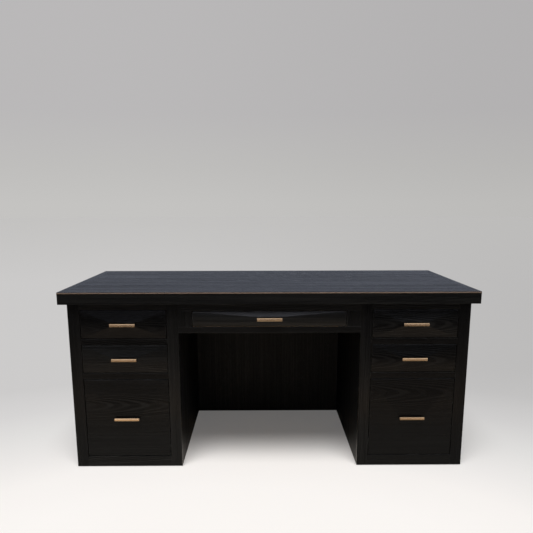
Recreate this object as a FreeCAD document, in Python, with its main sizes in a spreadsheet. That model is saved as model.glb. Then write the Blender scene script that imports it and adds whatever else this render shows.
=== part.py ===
"""A double pedestal writing desk in ebonised oak, with seven drawers and brass bar pulls.

The origin is on the floor under the middle of the desk. X runs along the desk, Y from the front to
the back and Z up. Sizes are millimetres.
"""
import FreeCAD, Part
import os
import re
from collections import namedtuple

import Sketcher

# Driving sizes
SIZES = (
    ("desk_width", 1727, "top, left to right"),
    ("desk_depth", 914, "top, front to back"),
    ("desk_height", 762, "floor to the writing surface"),
    ("top_thickness", 50, "lippings of the top"),
    ("core_thickness", 28, "veneered core of the top"),
    ("lip_thickness", 24, "lippings, square to the edge"),
    ("lip_ease", 1.5, "chamfer on the arrises of the top"),
    ("line_height", 4, "brass line round the top"),
    ("line_depth", 2, "brass line, into the lipping"),
    ("line_drop", 1.8, "writing surface down to the brass line"),
    ("batten_width", 60, "battens under the core"),
    ("overhang", 30, "top beyond the pedestals, all round"),
    ("kneehole_width", 758, "between the pedestals"),
    ("floor_gap", 2, "floor to the lower edges of the boards"),
    ("side_thickness", 22, "sides of the pedestals"),
    ("frame_thickness", 22, "stiles and rails"),
    ("frame_ease", 1.2, "chamfer on the outer arrises of the frame"),
    ("outer_stile_width", 48, "stile at the end of the desk"),
    ("inner_stile_width", 47, "stile at the kneehole"),
    ("bottom_rail_height", 46, "rail at the floor"),
    ("rail_height", 25, "rails between drawers"),
    ("top_rail_height", 26, "rail under the top, at the pedestals"),
    ("box_opening_height", 122, "openings of the shallow side drawers"),
    ("centre_end_width", 57, "blocks beside the centre drawer"),
    ("centre_opening_height", 67, "opening of the centre drawer"),
    ("centre_top_rail_height", 31, "rail over the centre drawer"),
    ("centre_bottom_rail_height", 26, "rail under the centre drawer"),
    ("centre_side_thickness", 20, "boards that carry the centre slides"),
    ("centre_side_spare", 20, "those boards beyond the slides' ends"),
    ("back_thickness", 19, "back panels of the pedestals"),
    ("floor_panel_thickness", 18, "floors of the pedestals"),
    ("floor_panel_rise", 12, "floor to the underside of those panels"),
    ("modesty_thickness", 20, "panel at the back of the kneehole"),
    ("modesty_inset", 22, "that panel in from the backs of the pedestals"),
    ("drawer_gap", 2.5, "round each drawer front"),
    ("front_thickness", 20, "drawer fronts at their edges"),
    ("front_ease", 1.5, "chamfer round each drawer front"),
    ("relief_height", 9, "hipped relief on each drawer front"),
    ("land_margin", 3, "flat of the relief beyond the pull's ends"),
    ("land_height", 18, "flat of the relief, up and down"),
    ("pull_length", 104, "bar pull, end to end"),
    ("pull_height", 13, "bar pull, up and down"),
    ("pull_thickness", 10, "bar pull, front to back"),
    ("pull_ease", 3.2, "chamfers along the front of the bar"),
    ("post_length", 11, "posts behind the bar"),
    ("post_side", 9, "posts, across"),
    ("post_spacing", 80, "between the posts' centres"),
    ("screw_radius", 2, "shank of a pull's screw"),
    ("screw_head_radius", 4.2, "head of a pull's screw"),
    ("screw_head_height", 2.6, "head of a pull's screw"),
    ("screw_bite", 8, "screw into the post"),
    ("screw_room", 0.3, "round the shank in the boards"),
    ("box_wall", 12, "sides, front and back of a drawer's box"),
    ("box_bottom", 6, "bottom of a drawer's box"),
    ("groove_depth", 5, "groove that holds the bottom"),
    ("groove_rise", 10, "lower edge of a side up to its groove"),
    ("box_back_room", 145, "side drawers' boxes to the back panels"),
    ("centre_box_back_room", 322, "centre drawer's box to the modesty panel"),
    ("box_head_room", 13, "shallow side drawers' boxes to the top of their openings"),
    ("file_box_head_room", 42, "file drawers' boxes to the top of their openings"),
    ("centre_box_head_room", 10, "centre drawer's box to the top of its opening"),
    ("box_lift", 14, "side drawers' openings up to their boxes"),
    ("centre_box_lift", 7, "centre drawer's opening up to its box"),
    ("hanger_height", 14, "rails for hanging files"),
    ("hanger_thickness", 2, "rails for hanging files"),
    ("slide_space", 12.7, "beside a drawer's box, for its slide"),
    ("slide_height", 45, "side drawers' slides"),
    ("centre_slide_height", 35, "centre drawer's slides"),
    ("slide_stop", 20, "slides shorter than their boxes"),
    ("slide_rise", 20, "side drawers' boxes up to their slides"),
    ("centre_slide_rise", 7, "centre drawer's box up to its slides"),
    ("slide_metal", 1.2, "sheet of the slides"),
    ("slide_play", 0.4, "between members of a slide"),
    ("cleat_margin", 8, "cleats above and below their slides"),
    ("bracket_leg", 28, "steel angles under the top"),
    ("bracket_metal", 2, "steel angles under the top"),
    ("bracket_width", 30, "steel angles, along the sides"),
    ("bracket_spacing", 520, "between the angles on one side"),
    ("glide_radius", 16, "levelling glides"),
    ("glide_pad", 5, "levelling glides, thickness of the pad"),
    ("glide_stem_radius", 4, "levelling glides"),
    ("glide_stem_top", 26, "floor to the top of a glide's stem"),
    ("glide_nut_radius", 8, "nut that locks a glide"),
    ("glide_nut_height", 4, "nut that locks a glide"),
    ("glide_inset", 42, "glides in from the corners of the floor panels"),
    ("glide_play", 0.05, "round a glide's stem"),
)

# Places worked out from the driving sizes
PLACES = (
    ("half_width", "desk_width / 2"),
    ("half_depth", "desk_depth / 2"),
    ("carcass_top", "desk_height - top_thickness"),
    ("core_bottom", "desk_height - core_thickness"),
    ("core_end", "half_width - lip_thickness"),
    ("core_edge", "half_depth - lip_thickness"),
    ("pedestal_out", "half_width - overhang"),
    ("pedestal_in", "kneehole_width / 2"),
    ("outer_side_in", "pedestal_out - side_thickness"),
    ("inner_side_out", "pedestal_in + side_thickness"),
    ("opening_in", "pedestal_in + inner_stile_width"),
    ("opening_out", "pedestal_out - outer_stile_width"),
    ("opening_width", "opening_out - opening_in"),
    ("opening_middle", "(opening_in + opening_out) / 2"),
    ("frame_front", "overhang - half_depth"),
    ("frame_back", "frame_front + frame_thickness"),
    ("pedestal_back", "half_depth - overhang"),
    ("panel_front", "pedestal_back - back_thickness"),
    ("file_bottom", "floor_gap + bottom_rail_height"),
    ("top_rail_bottom", "carcass_top - top_rail_height"),
    ("top_bottom", "top_rail_bottom - box_opening_height"),
    ("middle_bottom", "top_bottom - rail_height - box_opening_height"),
    ("file_opening_height", "middle_bottom - rail_height - file_bottom"),
    ("centre_out", "pedestal_in - centre_end_width"),
    ("centre_opening_width", "2 * centre_out"),
    ("centre_side_out", "centre_out + centre_side_thickness"),
    ("centre_rail_bottom", "carcass_top - centre_top_rail_height"),
    ("centre_bottom", "centre_rail_bottom - centre_opening_height"),
    ("kneehole_top", "centre_bottom - centre_bottom_rail_height"),
    ("modesty_front", "pedestal_back - modesty_inset - modesty_thickness"),
    ("box_front", "frame_front + front_thickness"),
    ("box_length", "panel_front - box_back_room - box_front"),
    ("centre_box_length", "modesty_front - centre_box_back_room - box_front"),
    ("slide_length", "box_length - slide_stop"),
    ("centre_slide_length", "centre_box_length - slide_stop"),
    ("box_height", "box_opening_height - box_lift - box_head_room"),
    ("file_box_height", "file_opening_height - box_lift - file_box_head_room"),
    ("centre_box_height", "centre_opening_height - centre_box_lift - centre_box_head_room"),
)

# One row for each drawer: its opening, its box and its slides, as names of sizes and places
Drawer = namedtuple("Drawer", (
    "name middle bottom width height "
    "box_length box_height lift "
    "slide_length slide_height slide_rise"
))
SIDE_SLIDES = ("slide_length", "slide_height", "slide_rise")


def side_drawers(side, sign):
    """The three drawers of one pedestal."""
    middle = sign + "opening_middle"
    rows = (
        ("_top", "top_bottom", "box_opening_height", "box_height"),
        ("_middle", "middle_bottom", "box_opening_height", "box_height"),
        ("_file", "file_bottom", "file_opening_height", "file_box_height"),
    )
    return [
        Drawer(
            side + name, middle, bottom, "opening_width", height,
            "box_length", box, "box_lift", *SIDE_SLIDES,
        )
        for name, bottom, height, box in rows
    ]


CENTRE_DRAWER = Drawer(
    "centre", "0", "centre_bottom", "centre_opening_width", "centre_opening_height",
    "centre_box_length", "centre_box_height", "centre_box_lift",
    "centre_slide_length", "centre_slide_height", "centre_slide_rise",
)
SIDES = (("left", "-"), ("right", "+"))

# Edges nearer than this to a side of a shape's box lie in that side
SAME_PLACE = 0.001

# Where and how large the lines and circles of a sketch are until its constraints move them
LOOSE_PLACE = FreeCAD.Vector(1, 1, 0)
LOOSE_SIZE = 1.0
UP = FreeCAD.Vector(0, 0, 1)
BACK = FreeCAD.Vector(0, 1, 0)

document = FreeCAD.newDocument("desk")
nodes = {}


# Helpers


def make_sheet():
    """Puts the driving sizes in the spreadsheet and the worked-out places beside it."""
    sheet = document.addObject("Spreadsheet::Sheet", "sizes")
    for row, (name, value, note) in enumerate(SIZES, start=1):
        sheet.set(f"A{row}", name)
        sheet.set(f"B{row}", str(value))
        sheet.setAlias(f"B{row}", name)
        sheet.set(f"C{row}", note)
    document.recompute()
    places = document.addObject("App::VarSet", "places")
    for name, text in PLACES:
        places.addProperty("App::PropertyFloat", name)
        places.setExpression(name, formula(text))
    document.recompute()


def formula(text):
    """The text with each name of a size or a place turned into a reference to its cell."""
    sizes = {name for name, value, note in SIZES}
    places = {name for name, text in PLACES}

    def refer(match):
        word = match.group(0)
        if word in sizes:
            return "sizes." + word
        if word in places:
            return "places." + word
        return word

    return re.sub("[a-z_]+", refer, text)


def bind(thing, **formulas):
    """Binds properties of an object to formulas."""
    for name, text in formulas.items():
        thing.setExpression(name, formula(text))


def put(thing, corner):
    """Binds an object's place to three formulas."""
    for axis, text in zip("xyz", corner):
        thing.setExpression("Placement.Base." + axis, formula(text))


def keep(label, thing):
    """Makes an object one of the sub-parts."""
    thing.Label = label
    nodes[label] = thing
    return thing


def new_body(label):
    """An empty body."""
    body = document.addObject("PartDesign::Body", label)
    body.Label = label
    return body


def add_box(body, kind, name, size, corner):
    """Adds or takes away a box of a body, of the given size, from its low corner."""
    box = body.newObject("PartDesign::" + kind + "Box", name)
    bind(box, Length=size[0], Width=size[1], Height=size[2])
    put(box, corner)
    return box


def board(label, size, corner):
    """A plain board in a body of its own, placed by its low corner."""
    body = new_body(label)
    add_box(body, "Additive", label + "_blank", size, ("0", "0", "0"))
    put(body, corner)
    return body


def block(label, size, corner):
    """One box of a group of like pieces."""
    box = document.addObject("Part::Box", label)
    bind(box, Length=size[0], Width=size[1], Height=size[2])
    put(box, corner)
    return box


def group(label, pieces):
    """A sub-part that holds several separate pieces."""
    compound = document.addObject("Part::Compound", label)
    compound.Links = pieces
    return keep(label, compound)


def new_sketch(body, name, role):
    """A sketch on one of the body's own origin planes."""
    sketch = body.newObject("Sketcher::SketchObject", name)
    plane = [feature for feature in body.Origin.OriginFeatures if feature.Role == role][0]
    sketch.AttachmentSupport = [(plane, "")]
    sketch.MapMode = "FlatFace"
    return sketch


def hold(sketch, kind, geometry, point, text):
    """Holds a point of a sketch at a formula's distance from the sketch's origin."""
    axis = {"DistanceX": -2, "DistanceY": -1}[kind]
    if text == "0":
        sketch.addConstraint(Sketcher.Constraint("PointOnObject", geometry, point, axis))
        return
    number = sketch.addConstraint(Sketcher.Constraint(kind, -1, 1, geometry, point, LOOSE_SIZE))
    sketch.setExpression(f"Constraints[{number}]", formula(text))


def outline(sketch, points):
    """A closed outline of straight lines through points that are held by formulas."""
    count = len(points)
    loose = [FreeCAD.Vector(place, place * place, 0) for place in range(count)]
    lines = [Part.LineSegment(loose[place], loose[(place + 1) % count]) for place in range(count)]
    sketch.addGeometry(lines, False)
    for place, (x_text, y_text) in enumerate(points):
        sketch.addConstraint(Sketcher.Constraint("Coincident", place, 2, (place + 1) % count, 1))
        hold(sketch, "DistanceX", place, 1, x_text)
        hold(sketch, "DistanceY", place, 1, y_text)


def extrude(label, role, points, length, backwards=False):
    """A body padded from an outline on one of its origin planes."""
    body = new_body(label)
    sketch = new_sketch(body, label + "_outline", role)
    outline(sketch, points)
    pad = body.newObject("PartDesign::Pad", label + "_pad")
    pad.Profile = sketch
    pad.Reversed = backwards
    bind(pad, Length=length)
    return body


def turn(label, points):
    """A body turned about its Z axis from half its outline, given as radius and height."""
    body = new_body(label)
    sketch = new_sketch(body, label + "_outline", "XZ_Plane")
    outline(sketch, points)
    revolution = body.newObject("PartDesign::Revolution", label + "_turned")
    revolution.Profile = sketch
    revolution.ReferenceAxis = (sketch, ["V_Axis"])
    return body


def circles(body, name, role, radius, centres):
    """A sketch of like circles on one of the body's own origin planes."""
    sketch = new_sketch(body, name, role)
    for x_text, y_text in centres:
        circle = sketch.addGeometry(Part.Circle(LOOSE_PLACE, UP, LOOSE_SIZE))
        number = sketch.addConstraint(Sketcher.Constraint("Radius", circle, LOOSE_SIZE))
        sketch.setExpression(f"Constraints[{number}]", formula(radius))
        hold(sketch, "DistanceX", circle, 3, x_text)
        hold(sketch, "DistanceY", circle, 3, y_text)
    return sketch


def drill(body, name, role, radius, centres):
    """Round holes right through a body, square to one of its origin planes."""
    pocket = body.newObject("PartDesign::Pocket", name)
    pocket.Profile = circles(body, name + "_places", role, radius, centres)
    pocket.Type = "ThroughAll"
    pocket.Midplane = True


def edges_on(shape, sides):
    """Names of the edges that lie in all the given sides of a shape's box, such as YMin."""
    whole = shape.BoundBox
    names = []
    for number, edge in enumerate(shape.Edges, start=1):
        box = edge.BoundBox
        gaps = []
        for side in sides:
            level = getattr(whole, side)
            gaps.append(abs(getattr(box, side[0] + "Min") - level))
            gaps.append(abs(getattr(box, side[0] + "Max") - level))
        if max(gaps) < SAME_PLACE:
            names.append(f"Edge{number}")
    return names


def ease(body, size, *corners):
    """Chamfers the edges of a body that lie in the named sides of its box."""
    document.recompute()
    base = body.Tip
    names = []
    for sides in corners:
        names += edges_on(base.Shape, sides)
    chamfer = body.newObject("PartDesign::Chamfer", body.Label + "_eased")
    chamfer.Base = (base, names)
    bind(chamfer, Size=size)


def out_from(sign, near, far):
    """Low X of a piece that runs from near to far from the desk's middle, on one side."""
    return near if sign == "+" else f"-({far})"


# The top


def mitred_bar(label, edge, thick, tall):
    """A bar along one edge of the top, mitred at both ends."""
    corners = {
        "front": (("-", "-"), ("", "-")),
        "right": (("", "-"), ("", "")),
        "back": (("", ""), ("-", "")),
        "left": (("-", ""), ("-", "-")),
    }
    start, end = corners[edge]
    outside = [(x_sign + "half_width", y_sign + "half_depth") for x_sign, y_sign in (start, end)]
    inside = [
        (f"{x_sign}(half_width - {thick})", f"{y_sign}(half_depth - {thick})")
        for x_sign, y_sign in (end, start)
    ]
    return extrude(label, "XY_Plane", outside + inside, tall)


def make_top():
    """The core, its lippings, the brass line let into them, and the battens below."""
    core = board(
        "top_panel",
        ("2 * core_end", "2 * core_edge", "core_thickness"),
        ("-core_end", "-core_edge", "core_bottom"),
    )
    keep("top_panel", core)
    outer_sides = {"front": "YMin", "back": "YMax", "left": "XMin", "right": "XMax"}
    grooves = {
        "front": (("desk_width", "line_depth"), ("-half_width", "-half_depth")),
        "back": (("desk_width", "line_depth"), ("-half_width", "half_depth - line_depth")),
        "left": (("line_depth", "desk_depth"), ("-half_width", "-half_depth")),
        "right": (("line_depth", "desk_depth"), ("half_width - line_depth", "-half_depth")),
    }
    strips = []
    for edge, outer in outer_sides.items():
        label = f"top_{edge}_edge"
        lip = mitred_bar(label, edge, "lip_thickness", "top_thickness")
        ease(lip, "lip_ease", (outer, "ZMax"), (outer, "ZMin"))
        size, corner = grooves[edge]
        add_box(
            lip, "Subtractive", label + "_groove",
            (*size, "line_height"),
            (*corner, "top_thickness - line_drop - line_height"),
        )
        put(lip, ("0", "0", "carcass_top"))
        keep(label, lip)
        strip = mitred_bar(f"{edge}_line", edge, "line_depth", "line_height")
        put(strip, ("0", "0", "desk_height - line_drop - line_height"))
        strips.append(strip)
    group("top_edge_line", strips)
    make_battens()


def make_battens():
    """Two battens along the desk and six from front to back between them."""
    height = "core_bottom - carcass_top"
    pieces = []
    long_batten = ("2 * core_end", "batten_width", height)
    for name, low in (("front_batten", "-core_edge"), ("back_batten", "core_edge - batten_width")):
        pieces.append(block(name, long_batten, ("-core_end", low, "carcass_top")))
    rows = (
        ("outer_batten", "core_end - batten_width", "core_end"),
        ("inner_batten", "inner_side_out + bracket_leg - batten_width", "inner_side_out + bracket_leg"),
        ("centre_batten", "centre_side_out - batten_width", "centre_side_out"),
    )
    for side, sign in SIDES:
        for name, near, far in rows:
            pieces.append(block(
                f"{side}_{name}",
                ("batten_width", "2 * (core_edge - batten_width)", height),
                (out_from(sign, near, far), "batten_width - core_edge", "carcass_top"),
            ))
    group("top_battens", pieces)


# The pedestals


def make_pedestal(side, sign):
    """Sides, back, floor and face frame of one pedestal."""
    run = "pedestal_back - frame_back"
    rise = "carcass_top - floor_gap"
    for name, near, far in (
        ("outer_side", "outer_side_in", "pedestal_out"),
        ("inner_side", "pedestal_in", "inner_side_out"),
    ):
        panel = board(
            f"{side}_{name}",
            ("side_thickness", run, rise),
            (out_from(sign, near, far), "frame_back", "floor_gap"),
        )
        keep(f"{side}_{name}", panel)
    inside = out_from(sign, "inner_side_out", "outer_side_in")
    across = "outer_side_in - inner_side_out"
    back = board(
        f"{side}_back_panel",
        (across, "back_thickness", rise),
        (inside, "panel_front", "floor_gap"),
    )
    keep(f"{side}_back_panel", back)
    floor = board(
        f"{side}_floor_panel",
        (across, "panel_front - frame_back", "floor_panel_thickness"),
        (inside, "frame_back", "floor_panel_rise"),
    )
    drill(floor, f"{side}_glide_holes", "XY_Plane", "glide_stem_radius + glide_play", [
        (x_text, y_text)
        for x_text in ("glide_inset", f"{across} - glide_inset")
        for y_text in ("glide_inset", "panel_front - frame_back - glide_inset")
    ])
    keep(f"{side}_floor_panel", floor)
    make_stile(f"{side}_outer_stile", "outer_stile_width", out_from(sign, "opening_out", "pedestal_out"),
               "XMax" if sign == "+" else "XMin")
    make_stile(f"{side}_inner_stile", "inner_stile_width", out_from(sign, "pedestal_in", "opening_in"),
               "XMin" if sign == "+" else "XMax")
    rows = (
        ("bottom", "bottom_rail_height", "floor_gap"),
        ("lower", "rail_height", "middle_bottom - rail_height"),
        ("upper", "rail_height", "top_bottom - rail_height"),
        ("top", "top_rail_height", "top_rail_bottom"),
    )
    opening = out_from(sign, "opening_in", "opening_out")
    group(f"{side}_rails", [
        block(
            f"{side}_{name}_rail",
            ("opening_width", "frame_thickness", tall),
            (opening, "frame_front", low),
        )
        for name, tall, low in rows
    ])


def make_stile(label, width, low, outer):
    """One upright of the face frame, eased on its outer front arris."""
    stile = board(
        label,
        (width, "frame_thickness", "carcass_top - floor_gap"),
        (low, "frame_front", "floor_gap"),
    )
    ease(stile, "frame_ease", (outer, "YMin"))
    keep(label, stile)


def make_glides():
    """Four levelling glides under each pedestal, screwed into its floor panel."""
    profile = (
        ("0", "0"),
        ("glide_radius", "0"),
        ("glide_radius", "glide_pad"),
        ("glide_stem_radius", "glide_pad"),
        ("glide_stem_radius", "floor_panel_rise - glide_nut_height"),
        ("glide_nut_radius", "floor_panel_rise - glide_nut_height"),
        ("glide_nut_radius", "floor_panel_rise"),
        ("glide_stem_radius", "floor_panel_rise"),
        ("glide_stem_radius", "glide_stem_top"),
        ("0", "glide_stem_top"),
    )
    glides = []
    for side, sign in SIDES:
        for x_text in ("inner_side_out + glide_inset", "outer_side_in - glide_inset"):
            for y_text in ("frame_back + glide_inset", "panel_front - glide_inset"):
                glide = turn(f"{side}_glide_{len(glides)}", profile)
                put(glide, (f"{sign}({x_text})", y_text, "0"))
                glides.append(glide)
    group("levelling_glides", glides)


def make_brackets():
    """Steel angles in the corners between the pedestals' sides and the battens."""
    brackets = []
    for side, sign in SIDES:
        for wall, away in (("outer_side_in", "-"), ("inner_side_out", "+")):
            lean = "" if sign == away else "-"
            profile = (
                ("0", "0"),
                (lean + "bracket_leg", "0"),
                (lean + "bracket_leg", "-bracket_metal"),
                (lean + "bracket_metal", "-bracket_metal"),
                (lean + "bracket_metal", "-bracket_leg"),
                ("0", "-bracket_leg"),
            )
            for y_sign in ("-", ""):
                bracket = extrude(
                    f"{side}_bracket_{len(brackets)}", "XZ_Plane", profile, "bracket_width", backwards=True
                )
                y_text = f"{y_sign}bracket_spacing / 2 - bracket_width / 2"
                put(bracket, (f"{sign}({wall})", y_text, "carcass_top"))
                brackets.append(bracket)
    group("top_fixing_brackets", brackets)


# Between the pedestals


def make_centre():
    """The frame and the side boards of the centre drawer, and the modesty panel."""
    keep("centre_top_rail", board(
        "centre_top_rail",
        ("kneehole_width", "frame_thickness", "centre_top_rail_height"),
        ("-pedestal_in", "frame_front", "centre_rail_bottom"),
    ))
    bottom_rail = board(
        "centre_bottom_rail",
        ("kneehole_width", "frame_thickness", "centre_bottom_rail_height"),
        ("-pedestal_in", "frame_front", "kneehole_top"),
    )
    ease(bottom_rail, "frame_ease", ("YMin", "ZMin"))
    keep("centre_bottom_rail", bottom_rail)
    ends = []
    boards = []
    for side, sign in SIDES:
        ends.append(block(
            f"{side}_end_block",
            ("pedestal_in - centre_out", "frame_thickness", "centre_opening_height"),
            (out_from(sign, "centre_out", "pedestal_in"), "frame_front", "centre_bottom"),
        ))
        boards.append(block(
            f"{side}_side_board",
            (
                "centre_side_thickness",
                "centre_slide_length + centre_side_spare",
                "carcass_top - kneehole_top",
            ),
            (out_from(sign, "centre_out", "centre_side_out"), "frame_back", "kneehole_top"),
        ))
    group("centre_end_blocks", ends)
    group("centre_side_boards", boards)
    keep("modesty_panel", board(
        "modesty_panel",
        ("kneehole_width", "modesty_thickness", "carcass_top - floor_gap"),
        ("-pedestal_in", "modesty_front", "floor_gap"),
    ))


# The drawers, each drawn about the middle of its opening's lower front edge


def drawer_place(drawer):
    """Where a drawer's own origin lies."""
    return (drawer.middle, "frame_front", drawer.bottom)


def screw_centres(drawer):
    """Across and up to the two screws of a drawer's pull."""
    return [(sign + "post_spacing / 2", drawer.height + " / 2") for sign in ("-", "")]


def make_front(drawer):
    """A drawer front whose four slopes rise to a small flat behind the pull."""
    label = drawer.name + "_drawer_front"
    body = new_body(label)
    add_box(
        body, "Additive", label + "_blank",
        (f"{drawer.width} - 2 * drawer_gap", "front_thickness", f"{drawer.height} - 2 * drawer_gap"),
        (f"drawer_gap - {drawer.width} / 2", "0", "drawer_gap"),
    )
    ease(body, "front_ease", ("YMin",))
    relief = body.newObject("PartDesign::AdditiveWedge", label + "_relief")
    bind(
        relief,
        Ymin="-relief_height",
        Ymax="0",
        Xmin="-pull_length / 2 - land_margin",
        Xmax="pull_length / 2 + land_margin",
        Zmin=f"{drawer.height} / 2 - land_height / 2",
        Zmax=f"{drawer.height} / 2 + land_height / 2",
        X2min=f"drawer_gap + front_ease - {drawer.width} / 2",
        X2max=f"{drawer.width} / 2 - drawer_gap - front_ease",
        Z2min="drawer_gap + front_ease",
        Z2max=f"{drawer.height} - drawer_gap - front_ease",
    )
    drill(body, label + "_holes", "XZ_Plane", "screw_radius + screw_room", screw_centres(drawer))
    put(body, drawer_place(drawer))
    keep(label, body)


def make_pull(drawer):
    """A bar on two posts, with the two screws that hold it from inside the drawer."""
    label = drawer.name + "_pull"
    body = new_body(label + "_bar")
    bar_front = "-relief_height - post_length - pull_thickness"
    add_box(
        body, "Additive", label + "_bar_blank",
        ("pull_length", "pull_thickness", "pull_height"),
        ("-pull_length / 2", bar_front, f"{drawer.height} / 2 - pull_height / 2"),
    )
    ease(body, "pull_ease", ("YMin", "ZMax"), ("YMin", "ZMin"))
    for x_text, z_text in screw_centres(drawer):
        add_box(
            body, "Additive", label + "_post",
            ("post_side", "post_length", "post_side"),
            (f"{x_text} - post_side / 2", "-relief_height - post_length", f"{z_text} - post_side / 2"),
        )
    pocket = body.newObject("PartDesign::Pocket", label + "_taps")
    pocket.Profile = circles(body, label + "_tap_places", "XZ_Plane", "screw_radius", screw_centres(drawer))
    pocket.Reversed = True
    bind(pocket, Length="relief_height + screw_bite")
    put(body, drawer_place(drawer))
    group(label, [body] + make_screws(drawer))


def make_screws(drawer):
    """Two screws through the box's front and the drawer front, into the posts."""
    reach = "front_thickness + box_wall + relief_height + screw_bite"
    profile = (
        ("0", "0"),
        ("screw_radius", "0"),
        ("screw_radius", reach),
        ("screw_head_radius", reach),
        ("screw_head_radius", reach + " + screw_head_height / 2"),
        ("screw_radius", reach + " + screw_head_height"),
        ("0", reach + " + screw_head_height"),
    )
    screws = []
    for x_text, z_text in screw_centres(drawer):
        screw = turn(f"{drawer.name}_screw_{len(screws)}", profile)
        screw.Placement.Rotation = FreeCAD.Rotation(UP, BACK)
        put(screw, (
            f"{drawer.middle} + {x_text}",
            "frame_front - relief_height - screw_bite",
            f"{drawer.bottom} + {z_text}",
        ))
        screws.append(screw)
    return screws


def make_box(drawer):
    """A drawer's box: two grooved sides, a front and a back board, and a captured bottom."""
    label = drawer.name + "_drawer_box"
    half = f"({drawer.width} / 2 - slide_space)"
    start = "front_thickness"
    groove = f"{drawer.lift} + groove_rise"
    top = f"{drawer.lift} + {drawer.box_height}"
    pieces = []
    for sign in ("-", ""):
        inner = f"{sign}({half} - box_wall)"
        deep = f"{sign}({half} - box_wall + groove_depth)"
        outer = f"{sign}{half}"
        profile = (
            (outer, drawer.lift),
            (inner, drawer.lift),
            (inner, groove),
            (deep, groove),
            (deep, groove + " + box_bottom"),
            (inner, groove + " + box_bottom"),
            (inner, top),
            (outer, top),
        )
        side = extrude(
            f"{label}_side_{len(pieces)}", "XZ_Plane", profile, drawer.box_length, backwards=True
        )
        put(side, (drawer.middle, "box_front", drawer.bottom))
        pieces.append(side)
    between = f"2 * ({half} - box_wall)"
    front = new_body(label + "_front")
    add_box(
        front, "Additive", label + "_front_blank",
        (between, "box_wall", drawer.box_height),
        (f"box_wall - {half}", start, drawer.lift),
    )
    add_box(
        front, "Subtractive", label + "_front_groove",
        (between, "groove_depth", "box_bottom"),
        (f"box_wall - {half}", f"{start} + box_wall - groove_depth", groove),
    )
    drill(front, label + "_front_holes", "XZ_Plane", "screw_radius + screw_room", screw_centres(drawer))
    put(front, drawer_place(drawer))
    pieces.append(front)
    end = f"box_front + {drawer.box_length}"
    pieces.append(block(
        label + "_back",
        (between, "box_wall", f"{drawer.box_height} - groove_rise - box_bottom"),
        (
            f"{drawer.middle} + box_wall - {half}",
            end + " - box_wall",
            f"{drawer.bottom} + {groove} + box_bottom",
        ),
    ))
    pieces.append(block(
        label + "_bottom",
        (f"{between} + 2 * groove_depth", f"{drawer.box_length} - box_wall + groove_depth", "box_bottom"),
        (
            f"{drawer.middle} + box_wall - groove_depth - {half}",
            "box_front + box_wall - groove_depth",
            f"{drawer.bottom} + {groove}",
        ),
    ))
    group(label, pieces)


def channel(label, drawer, sign, web, near, far, inset):
    """One folded member of a drawer's slide.

    near and far are its places out from the drawer's middle, and its web is at one of them. inset is
    how much lower it is than the whole slide, above and below.
    """
    low = f"{drawer.lift} + {drawer.slide_rise} + {inset}"
    high = f"{drawer.lift} + {drawer.slide_rise} + {drawer.slide_height} - ({inset})"
    metal = "slide_metal" if web == "near" else "-slide_metal"
    back, lip = (near, far) if web == "near" else (far, near)
    across = [back, lip, lip, f"{back} + {metal}", f"{back} + {metal}", lip, lip, back]
    up = [low, low, low + " + slide_metal", low + " + slide_metal"]
    up += [high + " - slide_metal", high + " - slide_metal", high, high]
    profile = [(f"{sign}({x_text})", z_text) for x_text, z_text in zip(across, up)]
    member = extrude(label, "XZ_Plane", profile, drawer.slide_length, backwards=True)
    put(member, (drawer.middle, "frame_back", drawer.bottom))
    return member


def make_slides(drawer):
    """A drawer's slides: the members on the desk, between and on the drawer."""
    step = "slide_metal + slide_play"
    wall = f"{drawer.width} / 2"
    full = drawer.name.endswith("file")
    fixed = []
    middle = []
    moving = []
    for sign in ("-", ""):
        side = "a" if sign else "b"
        fixed.append(channel(
            f"{drawer.name}_outer_slide_{side}", drawer, sign, "far",
            f"{wall} - slide_space + slide_play", wall, "0",
        ))
        if full:
            middle.append(channel(
                f"{drawer.name}_middle_slide_{side}", drawer, sign, "far",
                f"{wall} - slide_space + {step}", f"{wall} - ({step})", step,
            ))
        moving.append(channel(
            f"{drawer.name}_inner_slide_{side}", drawer, sign, "near",
            f"{wall} - slide_space", f"{wall} - 2 * ({step})" if full else f"{wall} - ({step})",
            f"2 * ({step})" if full else step,
        ))
    if full:
        group(f"{drawer.name}_middle_slides", middle)
        moving += make_hangers(drawer)
    group(f"{drawer.name}_runners", moving)
    return fixed


def make_hangers(drawer):
    """Rails on the top edges of a file drawer's sides, for hanging files."""
    centre = f"{drawer.width} / 2 - slide_space - box_wall / 2"
    return [
        block(
            f"{drawer.name}_hanger_{side}",
            ("hanger_thickness", drawer.box_length, "hanger_height"),
            (
                f"{drawer.middle} {sign} ({centre}) - hanger_thickness / 2",
                "box_front",
                f"{drawer.bottom} + {drawer.lift} + {drawer.box_height}",
            ),
        )
        for side, sign in SIDES
    ]


def make_cleats(drawer):
    """Packings that bring a pedestal's walls out to the edges of the drawer's opening."""
    sign = drawer.middle[0]
    rows = (("inner", "inner_side_out", "opening_in"), ("outer", "opening_out", "outer_side_in"))
    return [
        block(
            f"{drawer.name}_{name}_cleat",
            (f"{far} - {near}", drawer.slide_length, f"{drawer.slide_height} + 2 * cleat_margin"),
            (
                out_from(sign, near, far),
                "frame_back",
                f"{drawer.bottom} + {drawer.lift} + {drawer.slide_rise} - cleat_margin",
            ),
        )
        for name, near, far in rows
    ]


def make_drawers():
    """All seven drawers, with the slides and cleats that carry them."""
    fixed = []
    cleats = []
    drawers = [drawer for side, sign in SIDES for drawer in side_drawers(side, sign)]
    for drawer in drawers:
        cleats += make_cleats(drawer)
    for drawer in drawers + [CENTRE_DRAWER]:
        make_front(drawer)
        make_pull(drawer)
        make_box(drawer)
        fixed += make_slides(drawer)
    group("slide_cleats", cleats)
    group("fixed_slides", fixed)


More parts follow.
